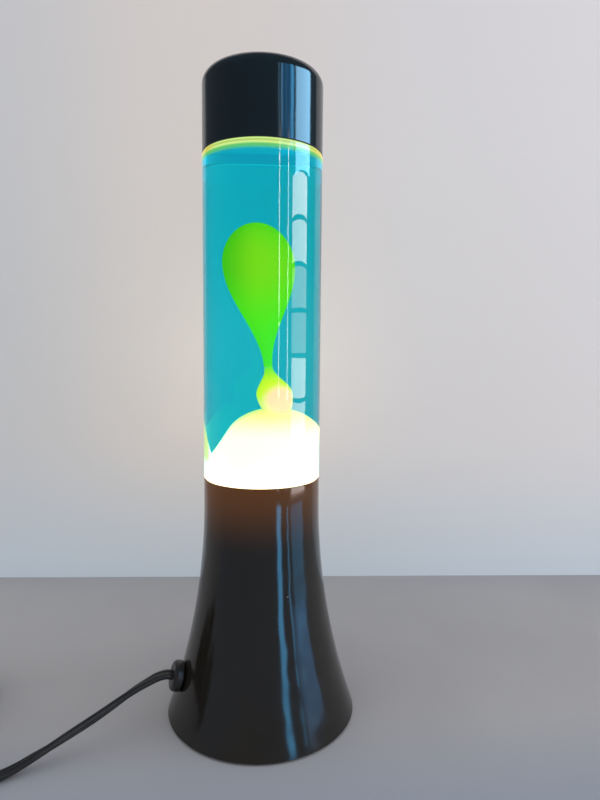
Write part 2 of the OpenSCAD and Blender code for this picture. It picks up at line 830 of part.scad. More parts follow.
module switch_rocker() {
    half = rocker_l / 2;
    color([0.08, 0.08, 0.08])
        translate(switch_spot + [0, 0, pin_z]) rotate([0, rocker_tilt, 0]) rotate([90, 0, 0])
            difference() {
                translate([0, 0, -rocker_w / 2]) linear_extrude(rocker_w)
                    polygon([
                        [-half, rocker_rise], [rocker_dip - half, -rocker_drop],
                        [half - rocker_dip, -rocker_drop], [half, rocker_rise], [0, rocker_rise - rocker_dip]
                    ]);
                translate([0, 0, -rocker_w]) cylinder(r = pin_r + pin_fit, h = 2 * rocker_w);
            }
}

module rocker_pin() {
    pin_l = switch_w - 2 * switch_wall - 2 * snug;
    color([0.7, 0.7, 0.72])
        translate(switch_spot + [0, pin_l / 2, pin_z]) rotate([90, 0, 0]) cylinder(r = pin_r, h = pin_l);
}

module switch_contacts() {
    post = [3, 6, seam_h - switch_wall + clear];
    color([0.8, 0.68, 0.35])
        translate(switch_spot)
            for (s = [-1, 1])
                translate([s * contact_x - post[0] / 2, -post[1] / 2, switch_wall]) {
                    cube(post);
                    translate([s > 0 ? 0 : post[0] - room_l / 2 + contact_x - snug, 0, 0])
                        cube([room_l / 2 - contact_x + snug, post[1], contact_t]);
                }
}

module switch_screws() {
    color([0.65, 0.65, 0.66])
        translate(switch_spot)
            for (s = [-1, 1])
                translate([s * switch_screw_x, 0, snug]) mirror([0, 0, 1])
                    pan_screw(2 * seam_h - screw_head_h - 2 * eps);
}

// Centre line of the coil after a number of turns, clockwise from the back
function coil_radius(turn) =
    let (climb = (turn - coil_in_turns) / coil_climb_turns)
    climb < 0 ? coil_r - coil_pitch * turn
    : climb < 1 ? coil_inner_r - coil_climb_dip * sin(180 * climb)
    : coil_inner_r + coil_pitch * (turn - coil_in_turns - coil_climb_turns);
function coil_height(turn) =
    coil_z + coil_layer * (1 - ease(max(0, min(1, (turn - coil_in_turns) / coil_climb_turns))));
function coil_point(turn) =
    coil_spot + [coil_radius(turn) * sin(360 * turn), coil_radius(turn) * cos(360 * turn), coil_height(turn)];
coil_start = coil_point(0) - [cord_w, 0, 0];
coil_end = coil_point(coil_turns) + [cord_w, 0, 0];
coil_route = concat(
    [concat(coil_start, [90])],
    [for (i = [0 : coil_turns * coil_rings]) concat(coil_point(i / coil_rings), [90])],
    [concat(coil_end, [90])]
);

// Least distance between corners of rings that lie beside or above each other
function coil_gap(section) =
    let (rings = [for (i = [0 : len(coil_route) - 1]) ring(coil_route, i, section)])
    min([
        for (i = [0 : len(rings) - 1], turn = [1 : coil_turns], near = [-1 : 1])
            let (k = i + turn * coil_rings + near)
                if (k < len(rings)) min([for (a = rings[i], b = rings[k]) norm(a - b)])
    ]);

module cord_coil() {
    section = flat_six(cord_w, cord_t);
    echo(least_gap_between_turns = coil_gap(section));
    color([0.03, 0.03, 0.03]) tube(coil_route, section);
}

// A route that is given from the coil's centre, moved to where the coil lies
function from_coil(route) = [for (p = route) concat(coil_spot + place(p), [p[3]])];

module cord_to_coil() {
    leave = switch_spot + [-switch_l / 2, 0, seam_h];
    color([0.03, 0.03, 0.03])
        tube(concat(
            [concat(leave, [0]), concat(leave - [cord_w, 0, 0], [0])],
            from_coil(route_to_coil),
            [concat(coil_start - [cord_w / 2, 0, 0], [90]), concat(coil_start, [90])]
        ), flat_eight(cord_w, cord_t));
}

module coil_tie() {
    outer = coil_radius(0.75) + cord_t / 2 + clear;
    inner = sqrt(pow(coil_radius(coil_in_turns - 0.25) - cord_t / 2, 2) - pow(tie_w / 2, 2)) - 2 * clear;
    low = coil_z - cord_w / 2 - snug;
    high = coil_top + clear;
    color([0.02, 0.02, 0.02])
        translate(coil_spot) difference() {
            translate([-outer - tie_t, -tie_w / 2, low - tie_t])
                cube([outer - inner + 2 * tie_t, tie_w, high - low + 2 * tie_t]);
            translate([-outer, -tie_w, low]) cube([outer - inner, 2 * tie_w, high - low]);
        }
}

module cord_to_plug() {
    color([0.03, 0.03, 0.03])
        tube(concat(
            [concat(coil_end, [90]), concat(coil_end + [cord_w / 2, 0, 0], [90])],
            from_coil(route_to_plug),
            [concat(plug_spot + [cord_w, 0, 0], [0]), concat(plug_spot, [0])]
        ), flat_eight(cord_w, cord_t));
}

module plug_body() {
    rib_l = 9;
    color([0.04, 0.04, 0.04])
        translate(plug_spot) difference() {
            union() {
                translate([-rib_l, 0, 0]) rotate([0, 90, 0]) linear_extrude(rib_l)
                    round_rect(plug_h - 2 * plug_edge_r, plug_w / 2, plug_edge_r);
                translate([-plug_l, 0, 0]) rotate([0, 90, 0]) linear_extrude(plug_l - rib_l)
                    round_rect(plug_h, plug_w, plug_edge_r);
            }
            for (s = [-1, 1])
                translate([-plug_l - eps, s * blade_gap / 2 - blade_t / 2 - snug, -blade_w / 2 - snug])
                    cube([plug_l / 2 + eps, blade_t + 2 * snug, blade_w + 2 * snug]);
        }
}

module plug_blades() {
    color([0.78, 0.7, 0.45])
        translate(plug_spot)
            for (s = [-1, 1])
                translate([-plug_l - blade_l, s * blade_gap / 2 - blade_t / 2, -blade_w / 2])
                    cube([blade_l + plug_l / 2 - snug, blade_t, blade_w]);
}

cap();
bottle();
bottle_closure();
closure_liner();
liquid();
wax_pool();
wax_blob();
heating_coil();
base_shell();
support_ring();
seat_pads();
shell_lugs();
base_plate();
plate_screws();
rubber_feet();
holder_bracket();
bracket_screws();
holder_nipple();
nipple_nut();
holder_body();
screw_shell();
centre_contact();
terminal_screws();
bulb_envelope();
bulb_screw_cap();
bulb_insulator();
bulb_tip();
bulb_filament();
strain_relief();
cord_tail();
live_lead();
neutral_lead();
cord_to_switch();
switch_bottom();
switch_top();
switch_rocker();
rocker_pin();
switch_contacts();
switch_screws();
cord_to_coil();
cord_coil();
coil_tie();
cord_to_plug();
plug_body();
plug_blades();
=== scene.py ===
# %% [markdown]
# # Liquid motion lamp
#
# A glass bottle of blue-green liquid stands in the mouth of a flared black base. Light from a bulb in the
# base shines up through melted wax, which lies in a bright mound, swells into a bead and lets go of a drop.
# Every length is in millimetres until a mesh is made, and the frame is the one of the solids: the table is
# z = 0, the lamp stands on the z axis and its front is -y.

# %% Frame
import json
import math

import bpy
import numpy as np
from mathutils import Matrix, Vector


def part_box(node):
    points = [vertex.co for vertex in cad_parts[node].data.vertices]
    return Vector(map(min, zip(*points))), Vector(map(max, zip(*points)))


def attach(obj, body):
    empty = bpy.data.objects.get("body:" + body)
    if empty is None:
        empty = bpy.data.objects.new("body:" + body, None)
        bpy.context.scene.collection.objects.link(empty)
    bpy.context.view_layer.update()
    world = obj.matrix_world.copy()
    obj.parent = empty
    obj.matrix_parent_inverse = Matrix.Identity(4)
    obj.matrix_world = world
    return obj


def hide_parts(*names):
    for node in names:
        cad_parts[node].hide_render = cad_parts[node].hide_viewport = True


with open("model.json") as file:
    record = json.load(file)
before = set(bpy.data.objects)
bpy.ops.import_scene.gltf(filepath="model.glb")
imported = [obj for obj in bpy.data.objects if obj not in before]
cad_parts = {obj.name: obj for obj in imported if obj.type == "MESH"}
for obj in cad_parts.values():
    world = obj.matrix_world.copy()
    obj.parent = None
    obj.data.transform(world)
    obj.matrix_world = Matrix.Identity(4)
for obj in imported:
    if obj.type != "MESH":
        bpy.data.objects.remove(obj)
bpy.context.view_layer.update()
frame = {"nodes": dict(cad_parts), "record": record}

MM = 0.001

# %% [markdown]
# ## Camera
#
# The camera could be placed by eye, but the outlines of cap, bottle and base say where it stood: a little
# above the middle of the bottle, close in front, turned slightly to the right and tilted down. The focal
# length is given in pixels of the long side, so the sensor is measured along that side.

# %% Camera
CAMERA_AT = Vector((0.0, -285.34, 178.52))
LOOK = Vector((0.06311, 0.99364, -0.0914)).normalized()
ROLL = math.radians(0.48)
FOCAL_PX, LONG_SIDE_PX, SENSOR = 600, 800, 36
NEAR_CLIP = 10


def add_camera():
    right = LOOK.cross(Vector((0, 0, 1))).normalized()
    up = right.cross(LOOK)
    x_axis = right * math.cos(ROLL) + up * math.sin(ROLL)
    y_axis = up * math.cos(ROLL) - right * math.sin(ROLL)
    data = bpy.data.cameras.new("camera")
    data.sensor_width = SENSOR
    data.lens = FOCAL_PX / LONG_SIDE_PX * SENSOR
    data.clip_start = NEAR_CLIP * MM
    camera = bpy.data.objects.new("camera", data)
    turn = Matrix((x_axis, y_axis, -LOOK)).transposed()
    camera.matrix_world = Matrix.Translation(CAMERA_AT * MM) @ turn.to_4x4()
    bpy.context.scene.collection.objects.link(camera)
    bpy.context.scene.camera = camera
    return camera


camera = add_camera()
print("camera lens", camera.data.lens)

# %% [markdown]
# ## Shader maths
#
# A wire is one socket of a shader tree. Plain arithmetic on wires makes Math nodes, and one method makes any
# other node, so a material reads like a formula.

# %% Shader maths
NOISE_ROUGH = 0.55


class Wire:
    """An output socket in a shader tree, or the tree alone before there is one."""

    def __init__(self, tree, socket=None):
        self.tree = tree
        self.socket = socket

    def node(self, kind, settings, values, out=0):
        made = self.tree.nodes.new(kind)
        for name, value in settings.items():
            setattr(made, name, value)
        for name, value in values.items():
            if isinstance(value, Wire):
                self.tree.links.new(value.socket, made.inputs[name])
            else:
                made.inputs[name].default_value = value
        return Wire(self.tree, made.outputs[out]) if made.outputs else made

    def maths(self, operation, *terms):
        return self.node("ShaderNodeMath", {"operation": operation}, dict(enumerate(terms)))

    def __add__(self, other):
        return self.maths("ADD", self, other)

    def __sub__(self, other):
        return self.maths("SUBTRACT", self, other)

    def __rsub__(self, other):
        return self.maths("SUBTRACT", other, self)

    def __mul__(self, other):
        return self.maths("MULTIPLY", self, other)

    def __truediv__(self, other):
        return self.maths("DIVIDE", self, other)

    def __rtruediv__(self, other):
        return self.maths("DIVIDE", other, self)

    __radd__ = __add__
    __rmul__ = __mul__

    def ramp(self, low, high):
        """0 below low, 1 above high, smooth between."""
        return self.node("ShaderNodeMapRange", {"interpolation_type": "SMOOTHSTEP"},
                         {"Value": self, "From Min": low, "From Max": high})

    def mix(self, first, second):
        """Colour first where this is 0 and second where it is 1."""
        return self.node("ShaderNodeMix", {"data_type": "RGBA"}, {0: self, 6: first, 7: second}, out=2)

    def place(self):
        """Position on the piece in metres."""
        return self.node("ShaderNodeTexCoord", {}, {}, out="Object")

    def stretched(self, factors):
        return self.node("ShaderNodeVectorMath", {"operation": "MULTIPLY"}, {0: self, 1: factors})

    def apart(self, spot):
        """Distance from a spot."""
        return self.node("ShaderNodeVectorMath", {"operation": "DISTANCE"}, {0: self, 1: spot}, out="Value")

    def axis(self, letter):
        return self.node("ShaderNodeSeparateXYZ", {}, {0: self}, out=letter)

    def noise(self, scale, detail=3.0):
        return self.node("ShaderNodeTexNoise", {}, {"Vector": self, "Scale": scale, "Detail": detail,
                                                    "Roughness": NOISE_ROUGH}, out="Fac")

    def cells(self, scale):
        """Distance to the nearest of many scattered points."""
        return self.node("ShaderNodeTexVoronoi", {}, {"Vector": self, "Scale": scale}, out="Distance")

    def bump(self, strength, depth):
        return self.node("ShaderNodeBump", {}, {"Height": self, "Strength": strength, "Distance": depth})


def new_material(name):
    material = bpy.data.materials.new(name)
    material.use_nodes = True
    material.node_tree.nodes.clear()
    return material, Wire(material.node_tree)


def close(wire, shader, volume=None):
    output = wire.node("ShaderNodeOutputMaterial", {}, {"Surface": shader})
    if volume:
        wire.tree.links.new(volume.socket, output.inputs["Volume"])


def rgb(red, green, blue):
    return (red, green, blue, 1.0)


# %% [markdown]
# ## Mesh helpers
#
# The round pieces are turned: an outline of radius and height is swung about an axis, as on a lathe. The lead
# is swept: a section follows a route and rolls about it. Both could be modifiers, but plain points keep the
# true surface and its smooth normals.

# %% Mesh helpers
SEGMENTS = 192
SHARP = math.radians(28)
POLE = 1e-6


def mesh_object(name, points, faces, material):
    mesh = bpy.data.meshes.new(name)
    mesh.from_pydata([tuple(p * MM for p in point) for point in points], [], faces)
    mesh.update()
    made = bpy.data.objects.new(name, mesh)
    bpy.context.scene.collection.objects.link(made)
    made.data.materials.append(material)
    mesh.shade_smooth()
    mesh.set_sharp_from_angle(angle=SHARP)
    return made


def lathe(outline, closed=False, base=0):
    """Points and faces of an outline of (radius, z) swung about the z axis, with poles where radius is 0."""
    points, rings = [], []
    for radius, z in outline:
        if radius < POLE:
            rings.append([base + len(points)] * SEGMENTS)
            points.append((0.0, 0.0, z))
        else:
            start = base + len(points)
            rings.append(list(range(start, start + SEGMENTS)))
            angles = (2 * math.pi * k / SEGMENTS for k in range(SEGMENTS))
            points.extend((radius * math.cos(a), radius * math.sin(a), z) for a in angles)
    pairs = list(zip(rings, rings[1:])) + ([(rings[-1], rings[0])] if closed else [])
    faces = []
    for low, high in pairs:
        for k in range(SEGMENTS):
            j = (k + 1) % SEGMENTS
            corners = list(dict.fromkeys((low[k], low[j], high[j], high[k])))
            if len(corners) > 2:
                faces.append(corners)
    return points, faces


def arc(middle, radius, start, end, steps):
    turns = [math.radians(start + (end - start) * i / steps) for i in range(steps + 1)]
    return [(middle[0] + radius * math.cos(t), middle[1] + radius * math.sin(t)) for t in turns]


def ease(u):
    """Half a wave that falls from 1 to 0."""
    return (1 + math.cos(math.pi * u)) / 2


def spline(stops, per_stop):
    """Smooth line through the stops, each a row of numbers, that leaves and ends along its outer legs."""
    rows = np.array(stops, float)
    step = np.linalg.norm(np.diff(rows[:, :3], axis=0), axis=1)
    at = np.concatenate([[0], np.cumsum(step)])
    slope = np.empty_like(rows)
    slope[1:-1] = (rows[2:] - rows[:-2]) / (at[2:] - at[:-2])[:, None]
    slope[0] = (rows[1] - rows[0]) / step[0]
    slope[-1] = (rows[-1] - rows[-2]) / step[-1]
    line = []
    for i, length in enumerate(step):
        for u in np.arange(per_stop) / per_stop:
            line.append(rows[i] * (1 + 2 * u) * (1 - u) ** 2 + rows[i + 1] * u * u * (3 - 2 * u)
                        + length * (slope[i] * u * (1 - u) ** 2 - slope[i + 1] * u * u * (1 - u)))
    line.append(rows[-1])
    return np.array(line)


def sweep(route, section):
    """Points and faces of a section that follows a route of x, y, z and roll in degrees."""
    spots = route[:, :3]
    along = np.gradient(spots, axis=0)
    along /= np.linalg.norm(along, axis=1)[:, None]
    side = np.cross(along, (0, 0, 1))
    side /= np.linalg.norm(side, axis=1)[:, None]
    up = np.cross(side, along)
    roll = np.radians(route[:, 3])[:, None]
    wide = side * np.cos(roll) + up * np.sin(roll)
    thin = up * np.cos(roll) - side * np.sin(roll)
    n = len(section)
    points = [tuple(spots[i] + wide[i] * w + thin[i] * t) for i in range(len(spots)) for w, t in section]
    faces = [(i * n + k, (i + 1) * n + k, (i + 1) * n + (k + 1) % n, i * n + (k + 1) % n)
             for i in range(len(spots) - 1) for k in range(n)]
    last = (len(spots) - 1) * n
    faces += [tuple(range(n)), tuple(range(last + n - 1, last - 1, -1))]
    return points, faces


# %% [markdown]
# ## Materials of the small pieces
#
# Most pieces are hidden in the base, but each has its own surface: a colour that drifts a little, a roughness
# that varies, and a fine bump at the scale of that material. Each could have a tree of its own, but one recipe
# serves them all. The mouldings of switch and plug keep the solids' meshes and get rounded edges.

# %% Materials of the small pieces
JOIN_GAP, MOULD_EDGE, MOULD_CUTS = 0.01, 0.5, 3


def surface(name, colour, drift, rough, grain, depth, metal=0.0, stretch=(1, 1, 1), **fixed):
    """Drift is a second colour, rough the lowest and highest roughness, grain the bump's scale per metre."""
    material, wire = new_material(name)
    place = wire.place()
    broad = place.noise(90.0)
    fine = place.stretched(stretch).noise(grain)
    values = {"Base Color": broad.ramp(0.35, 0.7).mix(rgb(*colour), rgb(*drift)),
              "Roughness": fine * (rough[1] - rough[0]) + rough[0],
              "Metallic": metal,
              "Normal": fine.bump(0.35, depth)}
    values.update(fixed)
    close(wire, wire.node("ShaderNodeBsdfPrincipled", {}, values))
    return material


LEAD_PLASTIC = surface("lead_plastic", (0.012, 0.012, 0.013), (0.02, 0.02, 0.021), (0.28, 0.42), 900, 0.00006)
MATERIALS = {
    "black_lead_plastic": LEAD_PLASTIC,
    "black_gloss_plastic": surface("moulded_plastic", (0.012, 0.012, 0.014), (0.02, 0.02, 0.022),
                                   (0.34, 0.5), 700, 0.00005),
    "black_matt_paint": surface("matt_paint", (0.025, 0.025, 0.026), (0.04, 0.04, 0.04),
                                (0.5, 0.7), 800, 0.00008),
    "zinc_steel": surface("zinc_plate", (0.55, 0.56, 0.58), (0.66, 0.64, 0.6), (0.22, 0.45), 420, 0.00004,
                          metal=1.0, stretch=(1, 1, 0.1)),
    "tinned_steel": surface("tinplate", (0.66, 0.6, 0.42), (0.72, 0.68, 0.52), (0.2, 0.36), 500, 0.00004,
                            metal=1.0, stretch=(1, 1, 0.08)),
    "brass": surface("brass", (0.72, 0.5, 0.18), (0.8, 0.6, 0.28), (0.2, 0.38), 480, 0.00004,
                     metal=1.0, stretch=(1, 1, 0.15)),
    "solder": surface("solder", (0.5, 0.5, 0.52), (0.62, 0.61, 0.6), (0.3, 0.5), 600, 0.0001, metal=1.0),
    "white_rubber": surface("silicone", (0.78, 0.77, 0.72), (0.84, 0.83, 0.8), (0.45, 0.6), 700, 0.00005),
    "black_rubber": surface("foot_rubber", (0.018, 0.018, 0.018), (0.035, 0.035, 0.034),
                            (0.65, 0.85), 900, 0.0001),
    "cream_holder": surface("glazed_holder", (0.78, 0.74, 0.62), (0.84, 0.82, 0.74),
                            (0.12, 0.26), 260, 0.00005),
    "brown_core": surface("brown_core", (0.13, 0.05, 0.02), (0.18, 0.075, 0.03), (0.35, 0.5), 900, 0.00004),
    "blue_core": surface("blue_core", (0.03, 0.09, 0.42), (0.05, 0.13, 0.5), (0.35, 0.5), 900, 0.00004),
    "bulb_glass": surface("frosted_bulb", (0.95, 0.86, 0.66), (1.0, 0.93, 0.78), (0.35, 0.5), 700, 0.00004,
                          **{"Emission Color": rgb(1.0, 0.78, 0.45), "Emission Strength": 1.5}),
}


def round_edges(name):
    """Moulded edges of a node: its split corners are joined again, then cut round."""
    node = frame["nodes"][name]
    node.modifiers.new("join", "WELD").merge_threshold = JOIN_GAP * MM
    cut = node.modifiers.new("round", "BEVEL")
    cut.width, cut.segments = MOULD_EDGE * MM, MOULD_CUTS
    cut.limit_method, cut.angle_limit = "ANGLE", SHARP


def dress_nodes():
    dressed = 0
    for part in frame["record"]["subparts"]:
        node, slot = frame["nodes"][part["node"]], part["material_slot"]
        if slot in MATERIALS:
            node.data.materials.clear()
            node.data.materials.append(MATERIALS[slot])
            dressed += 1
    return dressed


for moulded in ("switch_bottom", "switch_top", "switch_rocker", "plug_body"):
    round_edges(moulded)
print("nodes with a new material", dress_nodes())

# %% [markdown]
# ## Lead
#
# The lead is flat two-core flex: two round cores side by side with a groove between them. It comes out of the
# bushing, falls to the table, runs out of the picture to a rocker switch, and what is left of it lies in a
# tied coil with the plug on top. It could be a curve with a bevel, but the flat section has to roll along the way
# as in the photo, so it is swept. The route repeats the points of the solids.

# %% Lead
CORD_W, CORD_T = 5.2, 3.0
LOBE_STEPS, ROD_STEPS, COIL_STEPS = 11, 12, 288
NEAR_STEPS, FAR_STEPS, CORE_STEPS = 6, 5, 10
EXIT_ROLL, CLEAR_ROLL = 15.0, 12.0
BUSHING_AZ, BUSHING_Z, BUSHING_OUT, BUSHING_IN = 195.0, 21.2, 4.8, 5.0
TAIL_L, CORE_R, CORE_GAP, CORE_LEAVE, CORE_LAND = 9.0, 0.8, 2.6, 3, 6
TERMINAL_A, TERMINAL_R = 32.0, 14.75
NECK_R, FOOT_R, FLARE_TOP, RIM_Z = 27.5, 45.6, 105.0, 0.8
FLARE_R = ((FLARE_TOP - RIM_Z) ** 2 + (FOOT_R - NECK_R) ** 2) / (2 * (FOOT_R - NECK_R))
SWITCH_IN, SWITCH_OUT = (-127.0, -52.0, 6.2), (-177.0, -52.0, 6.2)
COIL_AT = np.array((-170.0, -3.0, 0.0))
COIL_R, COIL_PITCH, COIL_DIP, COIL_LOW, COIL_LAYER = 34.5, 3.6, 1.8, 3.4, 6.2
TURNS_IN, TURNS_CLIMB, TURNS_OUT = 3.0, 0.5, 2.5
PLUG_AT = (-165.2, -24.0, 19.5)
TO_SWITCH = [
    (-48.5, -13.1, 22.8, 4), (-52.6, -14.8, 21.4, -8), (-57.5, -17.2, 19.6, -22), (-63, -20.4, 17.2, -38),
    (-69, -24.2, 14.5, -50), (-75, -28.2, 12.1, -55), (-82, -32.8, 9.6, -50), (-89, -37.4, 7.1, -38),
    (-95.5, -41.6, 5, -22), (-102, -45.6, 3, -10), (-107, -48.5, 2.3, 0), (-113, -51, 3, 0),
    (-119, -52, 5.4, 0),
]
TO_COIL = [
    (-18, -47.2, 5, 10), (-25.5, -42.6, 4, 25), (-32, -36, 3.4, 45), (-37, -28, 3.2, 65),
    (-40.4, -19, 3.2, 80), (-41.8, -9.5, 3.2, 90), (-41.4, 0, 3.2, 90), (-39, 9.5, 3.2, 90),
    (-34.5, 18.5, 3.3, 90), (-28, 26, 3.4, 90), (-19.5, 31.5, 3.4, 90), (-11, 34.2, 3.4, 90),
]
TO_PLUG = [
    (13, 31.6, 10.2, 90), (20.5, 27.4, 11.4, 90), (27, 21, 12.8, 90), (31.5, 13.2, 14.2, 90),
    (33.6, 5, 15.4, 90), (33, -3.5, 16.8, 75), (29.6, -11, 18, 55), (23.6, -17, 18.9, 35),
    (16.4, -20.4, 19.4, 15),
]


def wall_radius(z):
    return NECK_R + FLARE_R - math.sqrt(FLARE_R ** 2 - (FLARE_TOP - z) ** 2)


def twin_section():
    """Two round cores that meet in a groove."""
    radius = CORD_T / 2
    centre = CORD_W / 2 - radius
    swing = math.acos(-centre / radius)
    turns = np.linspace(-swing, swing, LOBE_STEPS)[:-1]
    right = [(centre + radius * math.cos(t), radius * math.sin(t)) for t in turns]
    return right + [(-w, -t) for w, t in right]


def coil_row(turn):
    climb = min(1.0, max(0.0, (turn - TURNS_IN) / TURNS_CLIMB))
    inner = COIL_R - COIL_PITCH * TURNS_IN
    if turn < TURNS_IN:
        radius = COIL_R - COIL_PITCH * turn
    elif climb < 1:
        radius = inner - COIL_DIP * math.sin(math.pi * climb)
    else:
        radius = inner + COIL_PITCH * (turn - TURNS_IN - TURNS_CLIMB)
    angle = 2 * math.pi * turn
    lift = COIL_LOW + COIL_LAYER * (1 - ease(climb))
    return (*(COIL_AT + (radius * math.sin(angle), radius * math.cos(angle), lift)), 90.0)


def shifted(row, by):
    return (row[0] + by[0], row[1] + by[1], row[2] + by[2], *row[3:])


def bushing_frame():
    """The bushing's spot on the flared wall, and the way straight out of it."""
    tilt = math.asin((FLARE_TOP - BUSHING_Z) / FLARE_R)
    az = math.radians(BUSHING_AZ)
    flat = np.array((math.cos(az), math.sin(az), 0.0))
    return flat * wall_radius(BUSHING_Z) + (0, 0, BUSHING_Z), flat * math.cos(tilt) + (0, 0, math.sin(tilt))


def lead_routes():
    spot, out = bushing_frame()
    leave = spot + out * BUSHING_OUT
    first = spline([(*leave, EXIT_ROLL), (*(leave + out * CORD_W / 2), CLEAR_ROLL), *TO_SWITCH,
                    shifted((*SWITCH_IN, 0.0), (CORD_W, 0, 0)), (*SWITCH_IN, 0.0)], NEAR_STEPS)
    turns = TURNS_IN + TURNS_CLIMB + TURNS_OUT
    wound = [coil_row(turns * i / COIL_STEPS) for i in range(COIL_STEPS + 1)]
    start, end = shifted(wound[0], (-CORD_W, 0, 0)), shifted(wound[-1], (CORD_W, 0, 0))
    lead_in = spline([(*SWITCH_OUT, 0.0), shifted((*SWITCH_OUT, 0.0), (-CORD_W, 0, 0)),
                      *(shifted(row, COIL_AT) for row in TO_COIL), start, wound[0]], FAR_STEPS)
    lead_out = spline([wound[-1], end, *(shifted(row, COIL_AT) for row in TO_PLUG),
                       shifted((*PLUG_AT, 0.0), (CORD_W, 0, 0)), (*PLUG_AT, 0.0)], FAR_STEPS)
    return first, np.concatenate([lead_in[:-1], np.array(wound), lead_out[1:]])


def add_leads():
    near, far = lead_routes()
    section = twin_section()
    switch_nodes = ["switch_bottom", "switch_top", "switch_rocker", "rocker_pin",
                    "switch_contacts", "switch_screws"]
    plug_nodes = ["plug_body", "plug_blades", "coil_tie"]
    coil_nodes = ["cord_to_coil", "cord_coil", "cord_to_plug"]
    for name, route, stands_for, end, lay, pieces in (
            ("lead_to_switch", near, ["cord_to_switch"], "fitting", "loose", switch_nodes),
            ("lead_to_plug", far, coil_nodes, "plug", "coiled", plug_nodes)):
        lead = mesh_object(name, *sweep(route, section), LEAD_PLASTIC)
        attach(lead, "base")
        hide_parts(*stands_for)


def add_inner_leads():
    """The end of the lead in the base: a short tail that splits into two cores, one to each terminal."""
    spot, out = bushing_frame()
    tail = spot - out * BUSHING_IN
    split = tail - out * TAIL_L
    across = np.cross(out, (0, 0, 1))
    across /= np.linalg.norm(across)
    low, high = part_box("terminal_screws")
    lift = (0, 0, (low.z + high.z) / 2 / MM)
    turns = np.linspace(0, 2 * math.pi, ROD_STEPS + 1)[:-1]
    rod = [(CORE_R * math.cos(t), CORE_R * math.sin(t)) for t in turns]
    pieces = [("lead_tail", "cord_tail", "black_lead_plastic", [tail, split], twin_section())]
    for side, name, node, slot in ((1, "live_core", "live_lead", "brown_core"),
                                   (-1, "neutral_core", "neutral_lead", "blue_core")):
        a = math.radians(BUSHING_AZ + side * TERMINAL_A)
        away = np.array((math.cos(a), math.sin(a), 0.0))
        head, start = away * TERMINAL_R + lift, split - across * side * CORE_GAP / 2
        stops = [start, start - out * CORE_LEAVE, head + away * CORE_LAND, head]
        pieces.append((name, node, slot, stops, rod))
    for name, node, slot, stops, section in pieces:
        route = spline([(*stop, 0.0) for stop in stops], CORE_STEPS)
        piece = mesh_object(name, *sweep(route, section), MATERIALS[slot])
        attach(piece, "base")
        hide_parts(node)


add_leads()
add_inner_leads()

# %% [markdown]
# ## Black paint of base and cap
#
# Both are spun metal under glossy black paint. The paint has long shallow waves, a few dust specks and a slightly
# uneven gloss, which soften and bend the reflections of the window as in the photo. The waves could be cut into
# the mesh, but they are too shallow to show in the outline, so they are a bump in the paint. Near the mouth of the
# base the paint has a painted glow, the light of the wax that falls on it.

# %% Black paint
WAVE_SCALE, HAZE_SCALE, SPECK_SCALE, PATCH_SCALE = 62.0, 28.0, 150.0, 46.0
MOUTH_GLOW_Z = (84.0, 118.0)


def gloss_paint(name, tint, painted_glow, depth):
    """Painted glow is the wax's light painted at the mouth of the base, and depth that of the waves in metres."""
    material, wire = new_material(name)
    place = wire.place()
    waves = place.noise(WAVE_SCALE, detail=1.0)
    haze = place.noise(HAZE_SCALE)
    specks = 1 - place.cells(SPECK_SCALE).ramp(0.05, 0.085)
    patches = place.noise(PATCH_SCALE, detail=1.0).ramp(0.6, 0.68)
    dust = specks * patches
    black = haze.mix(rgb(*tint), rgb(0.008, 0.008, 0.009))
    # painted light: the wax's glow on the paint near the mouth of the base, as emission
    near_mouth = (place.axis("Z") / MM).ramp(*MOUTH_GLOW_Z)
    shader = wire.node("ShaderNodeBsdfPrincipled", {}, {
        "Base Color": (dust * 0.5).mix(black, rgb(0.3, 0.29, 0.27)),
        "Roughness": haze.ramp(0.3, 0.75) * 0.06 + dust * 0.4 + 0.1,
        "Emission Color": near_mouth.mix(rgb(0, 0, 0), rgb(*painted_glow)),
        "Emission Strength": 1.0,
        "Normal": (waves + dust * 0.05).bump(0.1, depth)})
    close(wire, shader)
    return material


# the base gets a warm painted glow at its mouth, the cap none
BASE_PAINT = gloss_paint("base_paint", (0.013, 0.011, 0.006), (0.08, 0.024, 0.0), 0.003)
CAP_PAINT = gloss_paint("cap_paint", (0.004, 0.018, 0.028), (0, 0, 0), 0.0012)
print("paints", BASE_PAINT.name, CAP_PAINT.name)

# %% [markdown]
# ## Base
#
# The stand is one spun shell: a straight neck, a long flare that is part of a circle, and a plain rim that
# stays just clear of the table. It could be cut from the solid's mesh, but turning it afresh gives a smooth
# flare and small rounded edges at mouth and rim.

# %% Base
BASE_H, SHELL_WALL, EDGE_R = 115.5, 1.0, 0.45
FLARE_STEPS, EDGE_STEPS = 60, 8


def base_outline():
    low = RIM_Z + EDGE_R
    heights = [low + (FLARE_TOP - RIM_Z - EDGE_R) * i / FLARE_STEPS for i in range(FLARE_STEPS + 1)]
    outside = [(wall_radius(z), z) for z in heights]
    inside = [(r - SHELL_WALL, z) for r, z in reversed(outside)]
    foot = wall_radius(low) - SHELL_WALL / 2
    mouth = NECK_R - SHELL_WALL / 2
    return (arc((foot, low), EDGE_R, 180, 360, EDGE_STEPS) + outside
            + arc((mouth, BASE_H - EDGE_R), EDGE_R, 0, 180, EDGE_STEPS) + inside)


base_skin = mesh_object("base_skin", *lathe(base_outline(), closed=True), BASE_PAINT)
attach(base_skin, "base")
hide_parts("base_shell")
print("base foot radius mm", round(wall_radius(RIM_Z), 2))

# %% [markdown]
# ## Cap
#
# A drum with a soft top edge that slips over the bottle's neck. It could be a solid drum, but it lifts off, so it
# is a hollow shell with a small chamfer at its rim.

# %% Cap
CAP_Z, CAP_TOP, CAP_R, CAP_WALL, CAP_EDGE, CAP_CHAMFER = 264.5, 300.0, 27.5, 1.6, 6.0, 0.3
CAP_RINGS, RING_FIRST, RING_STEP = 8, 2, 3.5


